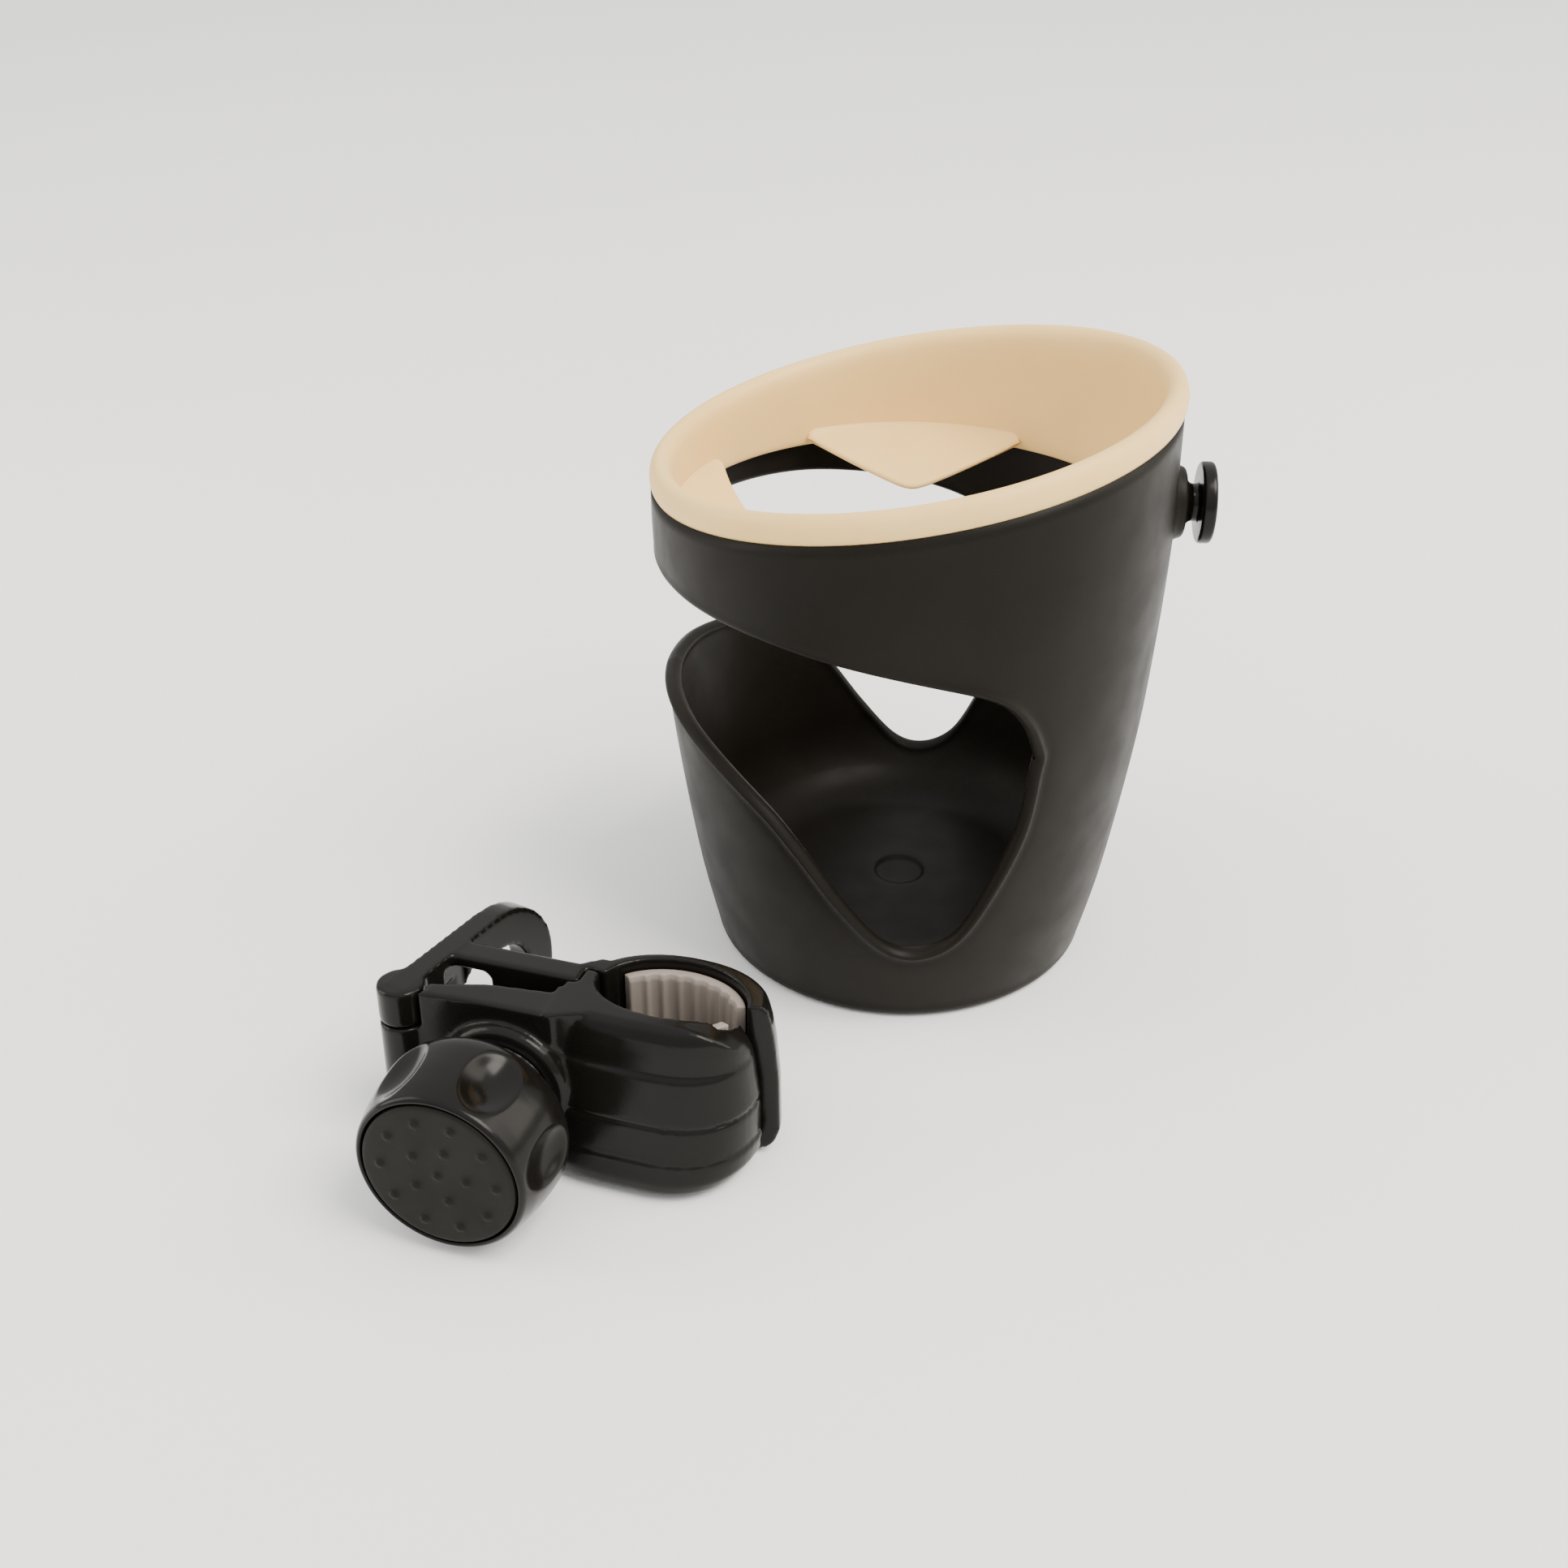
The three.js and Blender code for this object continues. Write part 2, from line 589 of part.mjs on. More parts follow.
// Six thumb scallops are cut round the knob's cone.
function knobBody() {
  const body = turned('y', [[0, 3], [INSERT_R + GAP, 3], [INSERT_R + GAP, 0.6], [14.7, 0.2],
    [15.5, 0.7], [16.3, 3], [17, 7], [17.4, 11], [KNOB_R, 14.1], [17, 15.8], [15.8, 17.8],
    [13.5, 19.6], [10.5, 20.8], [9, 21.4], [9, KNOB_BACK], [0, KNOB_BACK]], 60);
  const dents = [];
  for (let i = 0; i < 6; i += 1) {
    const a = (i * 60 + 66) * DEG;
    dents.push(new THREE.SphereGeometry(1, 20, 14).scale(6, 9.4, 7)
      .translate(20.9, 7.5, 0).rotateY(-a));
  }
  return cut(body, ...dents, bar('y', 4.7, 30, SCREW_R + 0.2, [0, 0]),
    bar('y', 4.7, 8.3, 4.8, [0, 0]));
}

function knobInsert() {
  const disc = turned('y', [[0, 0.1], [13.6, 0.1], [INSERT_R - 0.1, 0.5], [INSERT_R - 0.1, 2.7],
    [0, 2.7]], 60);
  const bumps = [[0, 0]];
  for (let i = 0; i < 5; i += 1) {
    bumps.push([5.3 * Math.cos(i * 72 * DEG), 5.3 * Math.sin(i * 72 * DEG)]);
  }
  for (let i = 0; i < 10; i += 1) {
    bumps.push([10.7 * Math.cos(i * 36 * DEG), 10.7 * Math.sin(i * 36 * DEG)]);
  }
  const domes = bumps.map(([x, z]) => new THREE.SphereGeometry(1, 10, 6)
    .scale(0.85, 0.6, 0.85).translate(x, 0.15, z));
  return union(disc, ...domes);
}

// ---- assembly -------------------------------------------------------------------------

const root = new THREE.Group();
const cup = new THREE.Group();
const clamp = new THREE.Group();
clamp.position.copy(CLAMP_POS);
clamp.rotation.set(CLAMP_TILT, 0, CLAMP_TURN, 'ZYX');

cup.add(named('cup_shell', cupShell(), charcoal));
cup.add(named('rim_liner', rimLiner(), ivory));
['rear', 'left', 'front', 'right'].forEach((side, i) => {
  const flap = named(`grip_flap_${side}`, gripFlap(), ivory);
  flap.rotation.z = i * 90 * DEG;
  cup.add(flap);
});
cup.add(named('hook_stud', hookStud(), black));
cup.add(named('stud_screw', studScrew(), steel));

clamp.add(named('fixed_jaw', fixedJaw(), black));
clamp.add(named('fixed_pad', padBody(farInner, 90 * DEG - padTurn, GAP), padGrey));
clamp.add(named('hinge_pin', hingePin(), steel));
clamp.add(named('jaw_nut', jawNut(), steel));
clamp.add(named('moving_jaw', movingJaw(), black));
clamp.add(named('moving_pad', padBody(nearInner, 270 * DEG + padTurn, GAP), padGrey));
clamp.add(named('thrust_washer', thrustWasher(), steel));
clamp.add(named('clamp_screw', clampScrew(), steel));
clamp.add(named('knob_body', knobBody(), black));
clamp.add(named('knob_insert', knobInsert(), softBlack));

root.add(cup, clamp);
export default root;
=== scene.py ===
"""Looks for the clamp-on cup holder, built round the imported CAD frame. Metres, +Z up."""
import bpy
import bmesh
import math
import numpy as np
from mathutils import Euler, Matrix, Vector
from mathutils.geometry import delaunay_2d_cdt


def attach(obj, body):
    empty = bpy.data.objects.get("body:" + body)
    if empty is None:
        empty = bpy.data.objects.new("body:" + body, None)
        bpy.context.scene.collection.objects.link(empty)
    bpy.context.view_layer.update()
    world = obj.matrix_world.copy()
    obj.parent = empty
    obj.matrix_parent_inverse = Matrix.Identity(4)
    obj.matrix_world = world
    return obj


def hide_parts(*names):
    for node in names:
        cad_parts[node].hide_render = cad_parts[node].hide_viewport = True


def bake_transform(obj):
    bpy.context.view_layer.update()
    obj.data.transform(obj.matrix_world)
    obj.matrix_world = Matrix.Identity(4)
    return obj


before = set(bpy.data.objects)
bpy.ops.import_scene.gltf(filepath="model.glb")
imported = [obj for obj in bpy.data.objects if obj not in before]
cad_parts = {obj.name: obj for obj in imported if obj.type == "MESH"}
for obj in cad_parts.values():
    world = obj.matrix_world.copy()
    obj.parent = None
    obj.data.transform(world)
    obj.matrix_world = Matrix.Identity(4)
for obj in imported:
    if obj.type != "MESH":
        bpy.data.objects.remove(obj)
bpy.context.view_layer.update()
MM = 0.001

# ---- camera ------------------------------------------------------------------------------

CAMERA_AT = Vector((0.0, -0.32588, 0.22577))
CAMERA_YAW, CAMERA_DOWN, CAMERA_ROLL = -0.07669, 0.53842, -0.00648
LENS, SENSOR = 40.994, 36.0


def make_camera():
    data = bpy.data.cameras.new("camera")
    data.lens, data.sensor_width = LENS, SENSOR
    data.clip_start, data.clip_end = 0.01, 20
    cam = bpy.data.objects.new("camera", data)
    bpy.context.scene.collection.objects.link(cam)
    level = Vector((math.cos(CAMERA_YAW), -math.sin(CAMERA_YAW), 0))
    ahead = Vector((math.sin(CAMERA_YAW) * math.cos(CAMERA_DOWN),
                    math.cos(CAMERA_YAW) * math.cos(CAMERA_DOWN), -math.sin(CAMERA_DOWN)))
    upright = level.cross(ahead)
    right = math.cos(CAMERA_ROLL) * level + math.sin(CAMERA_ROLL) * upright
    up = math.cos(CAMERA_ROLL) * upright - math.sin(CAMERA_ROLL) * level
    turn = Matrix((right, up, -ahead)).transposed().to_4x4()
    cam.matrix_world = Matrix.Translation(CAMERA_AT) @ turn
    bpy.context.scene.camera = cam


make_camera()

# ---- materials ---------------------------------------------------------------------------


def new_material(name, rough, specular=0.5, metal=0.0):
    mat = bpy.data.materials.new(name)
    mat.use_nodes = True
    shader = mat.node_tree.nodes["Principled BSDF"]
    shader.inputs["Roughness"].default_value = rough
    shader.inputs["Specular IOR Level"].default_value = specular
    shader.inputs["Metallic"].default_value = metal
    return mat, shader


def noise(mat, scale, detail=4.0, stretch=(1, 1, 1)):
    """Noise in the object's own metres, stretched along its axes."""
    nodes, links = mat.node_tree.nodes, mat.node_tree.links
    coords = nodes.new("ShaderNodeTexCoord")
    mapping = nodes.new("ShaderNodeMapping")
    mapping.inputs["Scale"].default_value = stretch
    tex = nodes.new("ShaderNodeTexNoise")
    tex.inputs["Scale"].default_value = scale
    tex.inputs["Detail"].default_value = detail
    links.new(coords.outputs["Object"], mapping.inputs["Vector"])
    links.new(mapping.outputs["Vector"], tex.inputs["Vector"])
    return tex.outputs["Fac"]


def ramp(mat, factor, stops):
    node = mat.node_tree.nodes.new("ShaderNodeValToRGB")
    mat.node_tree.links.new(factor, node.inputs["Fac"])
    elements = node.color_ramp.elements
    while len(elements) < len(stops):
        elements.new(0.5)
    for element, (place, color) in zip(elements, stops):
        element.position = place
        element.color = (*color, 1)
    return node.outputs["Color"]


def grey_ramp(mat, factor, low, high, start=0.35, end=0.65):
    return ramp(mat, factor, [(start, (low,) * 3), (end, (high,) * 3)])


def bump(mat, shader, layers):
    """Fine relief: layers are (height factor, strength, depth in metres)."""
    links = mat.node_tree.links
    last = None
    for factor, strength, depth in layers:
        node = mat.node_tree.nodes.new("ShaderNodeBump")
        node.inputs["Strength"].default_value = strength
        node.inputs["Distance"].default_value = depth
        links.new(factor, node.inputs["Height"])
        if last:
            links.new(last, node.inputs["Normal"])
        last = node.outputs["Normal"]
    links.new(last, shader.inputs["Normal"])


def moulded(name, dark, light, rough, grain, grain_depth, specular):
    """Moulded plastic or rubber: mottled colour, uneven gloss and a fine surface grain."""
    mat, shader = new_material(name, sum(rough) / 2, specular)
    links = mat.node_tree.links
    blotch = noise(mat, 38, 5)
    links.new(ramp(mat, blotch, [(0.32, dark), (0.7, light)]), shader.inputs["Base Color"])
    smear = noise(mat, 120, 3)
    links.new(grey_ramp(mat, smear, *rough), shader.inputs["Roughness"])
    bump(mat, shader, [(noise(mat, 90, 2), 0.15, 0.00012),
                       (noise(mat, grain, 2), 0.5, grain_depth)])
    return mat, shader


SHELL, _ = moulded("shell_plastic", (0.0072, 0.0062, 0.0046), (0.0098, 0.0084, 0.0064),
                   (0.38, 0.46), 5200, 0.000022, specular=0.09)
GLOSS, _ = moulded("gloss_plastic", (0.0045, 0.0041, 0.0034), (0.0065, 0.0058, 0.0048),
                   (0.16, 0.24), 2600, 0.000006, specular=0.16)
INSERT, _ = moulded("insert_rubber", (0.007, 0.0063, 0.005), (0.0095, 0.0086, 0.0068),
                    (0.46, 0.56), 6000, 0.00003, specular=0.11)
PAD, _ = moulded("pad_rubber", (0.2, 0.172, 0.148), (0.25, 0.217, 0.19), (0.45, 0.58), 4200,
                 0.00003, specular=0.3)
LINER, liner_shader = moulded("liner_rubber", (0.84, 0.56, 0.2), (0.89, 0.61, 0.24),
                              (0.40, 0.52), 4800, 0.000018, specular=0.3)
liner_shader.inputs["Subsurface Weight"].default_value = 0.12
liner_shader.inputs["Subsurface Radius"].default_value = (0.004, 0.0025, 0.0015)
liner_shader.inputs["Subsurface Scale"].default_value = 0.6


def steel_material():
    mat, shader = new_material("steel", 0.3, metal=1.0)
    links = mat.node_tree.links
    tone = [(0.3, (0.3, 0.3, 0.31)), (0.7, (0.44, 0.44, 0.45))]
    links.new(ramp(mat, noise(mat, 60, 4), tone), shader.inputs["Base Color"])
    brushed = noise(mat, 900, 3, (1, 1, 0.05))
    links.new(grey_ramp(mat, brushed, 0.22, 0.4), shader.inputs["Roughness"])
    bump(mat, shader, [(brushed, 0.3, 0.00002)])
    return mat


STEEL = steel_material()

# ---- mesh helpers ------------------------------------------------------------------------


def make_object(name, verts, faces, mat, merge=0.0):
    """A mesh object from points in millimetres."""
    mesh = bpy.data.meshes.new(name)
    mesh.from_pydata([tuple(c * MM for c in v) for v in verts], [], faces)
    bm = bmesh.new()
    bm.from_mesh(mesh)
    if merge:
        bmesh.ops.remove_doubles(bm, verts=bm.verts, dist=merge * MM)
    bmesh.ops.recalc_face_normals(bm, faces=bm.faces)
    bm.to_mesh(mesh)
    bm.free()
    mesh.polygons.foreach_set("use_smooth", [True] * len(mesh.polygons))
    mesh.materials.append(mat)
    obj = bpy.data.objects.new(name, mesh)
    bpy.context.scene.collection.objects.link(obj)
    return obj


def grid_faces(rows, cols, wrap_rows=False, wrap_cols=False, start=0):
    """Quads of a rows x cols grid of points, row by row."""
    faces = []
    for i in range(rows if wrap_rows else rows - 1):
        for j in range(cols if wrap_cols else cols - 1):
            a, b = i * cols, ((i + 1) % rows) * cols
            k = (j + 1) % cols
            faces.append((start + a + j, start + a + k, start + b + k, start + b + j))
    return faces


def curve_points(points, count):
    """Points along a smooth curve through the given ones."""
    pts = np.array(points, float)
    spans = len(pts) - 1
    out = []
    for t in np.linspace(0, spans, count):
        i = min(int(t), spans - 1)
        w = t - i
        p0, p1, p2, p3 = (pts[min(max(i + k, 0), spans)] for k in (-1, 0, 1, 2))
        v0, v1 = (p2 - p0) / 2, (p3 - p1) / 2
        out.append((2 * p1 - 2 * p2 + v0 + v1) * w ** 3
                   + (-3 * p1 + 3 * p2 - 2 * v0 - v1) * w ** 2 + v0 * w + p1)
    return np.array(out)


def rounded_profile(corners, steps=5):
    """(radius, place, corner rounding) triples as one outline with round corners."""
    out = []
    for i, (r, t, fillet) in enumerate(corners):
        p = np.array((r, t), float)
        if fillet == 0 or i in (0, len(corners) - 1):
            out.append(tuple(p))
            continue
        a = np.array(corners[i - 1][:2], float) - p
        b = np.array(corners[i + 1][:2], float) - p
        a, b = a / np.linalg.norm(a), b / np.linalg.norm(b)
        for k in range(steps + 1):
            w = k / steps
            q = p + a * fillet * (1 - w) ** 2 + b * fillet * w ** 2
            out.append(tuple(q))
    return out


def lathe_verts(profile, sides):
    """Rings of (x, y, z) round Z from (radius, z) points; make_object merges those on the axis."""
    verts = []
    for r, z in profile:
        for k in range(sides):
            a = 2 * math.pi * k / sides
            verts.append((r * math.cos(a), r * math.sin(a), z))
    return verts


def lathe(name, profile, sides, mat, turn, shift):
    """A turned piece, moved from the Z axis by a turn and a shift."""
    verts = [tuple(turn @ Vector(v) + Vector(shift)) for v in lathe_verts(profile, sides)]
    faces = grid_faces(len(profile), sides, wrap_cols=True)
    return make_object(name, verts, faces, mat, merge=1e-4)


# ---- cup ---------------------------------------------------------------------------------

RIM_R, RIM_Z, RIM_SLOPE, WALL = 50.0, 108.4, 0.171, 2.4
FLOOR_Z, BOWL = 10.0, 16.0
FOOT_R, FOOT_RECESS = 32.0, 1.2
ARC_R = 48.0                      # radius at which the wall is unrolled
WALL_LOW = 14.0                   # the wall's sheet starts here, above the bowl
LIP = 1.3                         # rounding of a free edge

wall_curve = curve_points([(39, 0), (43.2, 19.5), (47.4, 48.8), (49.2, 70.5), (50.2, 92),
                           (50, 108.4), (49.8, 125)], 400)
LOWER_EDGE = [(60.3, 60), (62, 46), (68, 32.5), (75, 22.5), (84, 18.7), (93, 20.5), (103, 29),
              (114, 41), (124, 49), (140, 55.5), (160, 59), (180, 60)]
WINDOW_CORNER = (59.9, 62)
UPPER_EDGE = [(60.3, 64), (64, 70.5), (71, 76.2), (85, 80.2), (105, 83.4), (130, 85.6),
              (180, 86.5)]


def outer_radius(z):
    return np.interp(z, wall_curve[:, 1], wall_curve[:, 0])


def rim_height(deg):
    return RIM_Z + RIM_SLOPE * RIM_R * np.cos(np.radians(deg))


def inner_point(u):
    """(radius, z) on the inside of the wall level with u, following the bowl below it."""
    top = FLOOR_Z + BOWL
    if u >= top:
        return outer_radius(u) - WALL, u
    a = (top - u) / BOWL
    middle = outer_radius(top) - WALL - BOWL
    return middle + BOWL * math.cos(a), top - BOWL * math.sin(a)


def window_outline():
    """The window's edge over half the cup, unrolled, from its lower front to its upper front."""
    knots = [*LOWER_EDGE[::-1], WINDOW_CORNER, *UPPER_EDGE]
    return curve_points([(a * ARC_R * math.pi / 180, z) for a, z in knots], 900)


def resample(line, step):
    seg = np.linalg.norm(np.diff(line, axis=0), axis=1)
    along = np.concatenate([[0], np.cumsum(seg)])
    count = int(round(along[-1] / step)) + 1
    at = np.linspace(0, along[-1], count)
    return np.stack([np.interp(at, along, line[:, k]) for k in (0, 1)], 1)


OUTLINE = window_outline()
CORNER = int(np.argmin(OUTLINE[:, 0]))        # where the lower edge turns into the upper one
LOW_LINE = OUTLINE[:CORNER + 1][::-1]
HIGH_LINE = OUTLINE[CORNER:]


def in_window(x, z):
    if x <= OUTLINE[CORNER][0]:
        return False
    return np.interp(x, *LOW_LINE.T) < z < np.interp(x, *HIGH_LINE.T)


def wall_sheet():
    """The unrolled half wall: points (azimuth, height), their distance from the window, how much
    of a bead runs along the edge there, and triangles."""
    front = math.pi * ARC_R
    edge = resample(OUTLINE, 0.8)
    edge[0][0] = edge[-1][0] = front
    tangent = np.gradient(edge, axis=0)
    tangent[0] = (-1, 0)
    tangent[-1] = (1, 0)
    normal = np.stack([-tangent[:, 1], tangent[:, 0]], 1)
    normal /= np.linalg.norm(normal, axis=1)[:, None]
    offsets = [0, 0.08, 0.22, 0.45, 0.75, 1.1, 1.5, 2.0, 2.6, 3.4]
    points, edges = [], []
    for d in offsets:
        first = len(points)
        points += [tuple(p) for p in edge + normal * d]
        edges += [(first + i, first + i + 1) for i in range(len(edge) - 1)]
    cols = np.linspace(0, front, 97)
    rims = [float(rim_height(math.degrees(x / ARC_R))) for x in cols]
    for t in np.linspace(0, 1, 37):
        first = len(points)
        for x, top in zip(cols, rims):
            z = WALL_LOW + t * (top - WALL_LOW)
            gap = np.min(np.hypot(edge[:, 0] - x, edge[:, 1] - z))
            if t in (0, 1) or (gap > 4.3 and not in_window(x, z)):
                points.append((x, z))
        if t in (0, 1):
            edges += [(first + i, first + i + 1) for i in range(len(cols) - 1)]
    verts, _, faces, _, _, _ = delaunay_2d_cdt([Vector(p) for p in points], edges, [], 0, 1e-5)
    flat = np.array([tuple(v) for v in verts])
    gaps = np.hypot(flat[:, None, 0] - edge[None, :, 0], flat[:, None, 1] - edge[None, :, 1])
    place = gaps.argmin(1) / len(edge)
    turn = CORNER / len(OUTLINE)
    bead = np.clip((turn + 0.06 - place) / 0.08, 0.12, 1)
    kept = []
    for f in faces:
        x, z = flat[list(f)].mean(0)
        if z < rim_height(math.degrees(x / ARC_R)) + 0.02 and not in_window(x, z):
            kept.append(tuple(f))
    return flat, gaps.min(1), bead, kept


def cup_shell():
    flat, near, bead, tris = wall_sheet()
    verts, faces = [], []
    n = len(flat)
    for side in (0, 1):
        for (x, u), d, lip in zip(flat, near, bead):
            a = x / ARC_R
            out = np.array((outer_radius(u), u))
            inn = np.array(inner_point(u))
            mid = (out + inn) / 2
            far = (out if side == 0 else inn) - mid
            half = np.linalg.norm(far)
            round_off = math.sqrt(max(0.0, 1 - (1 - min(d, LIP) / LIP) ** 2))
            ridge = math.exp(-((d - 1.0) / 0.72) ** 2) - 0.28 * math.exp(-((d - 2.7) / 0.7) ** 2)
            lift = round_off * (half + (0.72 if side == 0 else 0.3) * lip * ridge)
            r, z = mid + far / half * lift
            verts.append((r * math.cos(a), r * math.sin(a), z))
        for f in tris:
            shifted = tuple(side * n + k for k in f)
            faces.append(shifted if side == 0 else shifted[::-1])
    cols = np.linspace(0, math.pi, 97)
    outside = [(outer_radius(u), u) for u in np.linspace(WALL_LOW, 2.6, 9)]
    edge = rounded_profile([(outer_radius(2.6), 2.6, 0), (39.3, 0, 2.4), (36, 0, 0)], 8)[1:]
    foot = rounded_profile([(36, 0, 0), (33, 0, 0.5), (FOOT_R, FOOT_RECESS, 0.5),
                            (27, FOOT_RECESS, 0), (20, FOOT_RECESS, 0), (13, FOOT_RECESS, 0.5),
                            (12, 0, 0.5), (10.5, 0, 0), (5, 0, 0), (0, 0, 0)], 3)[1:]
    inside = [inner_point(u) for u in np.linspace(WALL_LOW, FLOOR_Z + BOWL * (1 - math.pi / 2),
                                                  22)]
    floor = [(r, FLOOR_Z) for r in (25.4, 24, 21, 17, 13, 9.5, 7.6)]
    dimple = rounded_profile([(7.0, FLOOR_Z, 0), (5.6, FLOOR_Z - 0.05, 0.5),
                              (4.7, FLOOR_Z - 0.6, 0.5), (2.5, FLOOR_Z - 0.6, 0),
                              (0, FLOOR_Z - 0.6, 0)], 4)
    for profile in (outside + edge + foot, inside + floor + dimple):
        first = len(verts)
        verts += [(r * math.cos(a), r * math.sin(a), z) for r, z in profile for a in cols]
        faces += grid_faces(len(profile), len(cols), start=first)
    first = len(verts)
    for inset in (0, WALL):
        for a in cols:
            z = float(rim_height(math.degrees(a)))
            r = outer_radius(z) - inset
            verts.append((r * math.cos(a), r * math.sin(a), z))
    faces += grid_faces(2, len(cols), start=first)
    count = len(verts)
    verts += [(x, -y, z) for x, y, z in verts]
    faces += [tuple(count + k for k in f[::-1]) for f in faces]
    return make_object("cup_shell_skin", verts, faces, SHELL, merge=0.002)


STUD_Z, STUD_R, STUD_FACE, STUD_END, STEM_R = 96.4, 7.8, 54.7, 57.4, 3.6


def stud_boss():
    """The raised boss that the stud is screwed to."""
    profile = rounded_profile([(8.6, 48.9, 0), (7.2, 50.1, 1.0), (6.6, 52, 0.7), (0, 52, 0)], 5)
    profile.insert(0, (0, 48.9))
    turn = Euler((0, math.pi / 2, 0)).to_matrix()
    return lathe("stud_boss", profile, 64, SHELL, turn, (0, 0, STUD_Z))


def hook_stud():
    profile = rounded_profile([(0, 52.05, 0), (4.9, 52.05, 0.3), (STEM_R, 53.0, 0.6),
                               (STEM_R, STUD_FACE, 0.7), (STUD_R, STUD_FACE, 0.8),
                               (STUD_R, STUD_END, 0.9), (0, STUD_END, 0)], 7)
    turn = Euler((0, math.pi / 2, 0)).to_matrix()
    return lathe("hook_stud_skin", profile, 96, GLOSS, turn, (0, 0, STUD_Z))


SKIRT_OUT = RIM_R - WALL - 0.4
SKIRT_IN = SKIRT_OUT - 1.6
SKIRT_Z = 91.7


def rim_liner():
    """The rolled rim and its skirt, as one closed band."""
    rows, sides = [], 240
    for k in range(sides):
        deg = 360 * k / sides
        c, s = math.cos(math.radians(deg)), math.sin(math.radians(deg))
        plane = RIM_Z + RIM_SLOPE * RIM_R * c
        bead = curve_points([(RIM_R - 0.2, plane + 0.02), (RIM_R + 0.2, plane + 0.9),
                             (RIM_R + 0.35, plane + 2.3), (RIM_R + 0.05, plane + 3.9),
                             (RIM_R - 0.9, plane + 5.05), (RIM_R - 2.1, plane + 5.2),
                             (RIM_R - 3.3, plane + 4.4), (RIM_R - 3.95, plane + 2.9),
                             (RIM_R - 4.25, plane + 0.8), (SKIRT_IN, plane - 2.2)], 30)
        skirt = [(SKIRT_IN - 0.1 * t, (plane - 2.2) * (1 - t) + (SKIRT_Z + 0.7) * t)
                 for t in np.linspace(0.15, 1, 8)]
        edge = [(SKIRT_IN + 0.15, SKIRT_Z + 0.15), (SKIRT_IN + 0.5, SKIRT_Z),
                (SKIRT_OUT - 0.4, SKIRT_Z), (SKIRT_OUT, SKIRT_Z + 0.4)]
        back = [(SKIRT_OUT, plane - 1), (SKIRT_OUT, plane + 0.1)]
        rows.append([(r * c, r * s, z) for r, z in [*bead, *skirt, *edge, *back]])
    cols = len(rows[0])
    return make_object("rim_liner_skin", [p for row in rows for p in row],
                       grid_faces(sides, cols, True, True), LINER)


FLAP_HALF, FLAP_ROOT_Z, FLAP_LEN, FLAP_DROP = 30.0, 94.7, 18.6, math.radians(22)


def grip_flap(name, turn_deg):
    """A soft rounded triangle that grows out of the skirt and leans down and inwards."""
    across, along = 64, 22
    root_r = SKIRT_IN + 0.35
    top, bottom = [], []
    for i in range(across + 1):
        s = 2 * i / across - 1
        a = math.radians(s * (FLAP_HALF - 0.4))
        middle = 1 - math.sqrt(s * s + 0.012) + 0.0045
        reach = FLAP_LEN * max(0.0, middle) * 1.06 + 1.15
        x, y = root_r * math.cos(a), root_r * math.sin(a)
        for j in range(along + 1):
            t = j / along
            run = reach * (1 - (1 - t) ** 1.25)
            rim_gap = reach - run
            side_gap = (1 - abs(s)) * 20
            edge = min(1.0, min(rim_gap, side_gap) / 0.75)
            body = math.sqrt(max(0.0, 1 - (1 - edge) ** 2)) * 0.62
            flare = 1.3 * math.exp(-run / 1.1) * min(1.0, side_gap / 1.5)
            sag = 0.5 * math.sin(math.pi * min(1.0, run / (FLAP_LEN + 1)))
            px = x - run * math.cos(FLAP_DROP)
            pz = FLAP_ROOT_Z - 0.7 - run * math.sin(FLAP_DROP) - sag
            top.append((px, y, pz + body + flare))
            bottom.append((px, y, pz - body - 0.6 * flare))
    cols = along + 1
    faces = grid_faces(across + 1, cols)
    count = len(top)
    faces += [tuple(count + k for k in f[::-1]) for f in faces]
    loop = [i * cols for i in range(across + 1)]
    faces += [(loop[i], loop[i + 1], count + loop[i + 1], count + loop[i]) for i in range(across)]
    for row in (0, across):
        base = row * cols
        faces += [(base + j, base + j + 1, count + base + j + 1, count + base + j)
                  for j in range(along)]
    spin = Matrix.Rotation(math.radians(turn_deg), 3, "Z")
    verts = [tuple(spin @ Vector(p)) for p in [*top, *bottom]]
    return make_object(name, verts, faces, LINER, merge=0.003)


# ---- clamp -------------------------------------------------------------------------------

CLAMP_AT = Vector((-74.9, -109.6, 17.91))
CLAMP_TURN = Matrix.Rotation(math.radians(-13.7), 3, "Z") @ \
    Matrix.Rotation(math.radians(-2.05), 3, "X")
IN_CLAMP = Matrix.Translation(CLAMP_AT * MM) @ CLAMP_TURN.to_4x4()


def in_clamp(verts):
    return [tuple(CLAMP_TURN @ Vector(v) + CLAMP_AT) for v in verts]


def moulding(node, name, mat, voxel, rounds):
    """A moulded copy of a CAD node: remeshed, so that its edges and inner corners are rounded."""
    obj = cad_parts[node].copy()
    obj.data = obj.data.copy()
    obj.name = obj.data.name = name
    obj.parent = None
    obj.data.transform(IN_CLAMP.inverted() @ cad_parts[node].matrix_world)
    obj.matrix_world = Matrix.Identity(4)
    bpy.context.scene.collection.objects.link(obj)
    obj.data.materials.clear()
    obj.data.materials.append(mat)
    remesh = obj.modifiers.new("remesh", "REMESH")
    remesh.mode, remesh.voxel_size = "VOXEL", voxel * MM
    relax = obj.modifiers.new("relax", "SMOOTH")
    relax.factor, relax.iterations = 0.5, rounds
    apply_modifiers(obj)
    obj.data.transform(IN_CLAMP)
    obj.data.polygons.foreach_set("use_smooth", [True] * len(obj.data.polygons))
    return obj


def apply_modifiers(obj):
    graph = bpy.context.evaluated_depsgraph_get()
    mesh = bpy.data.meshes.new_from_object(obj.evaluated_get(graph))
    obj.modifiers.clear()
    obj.data = mesh


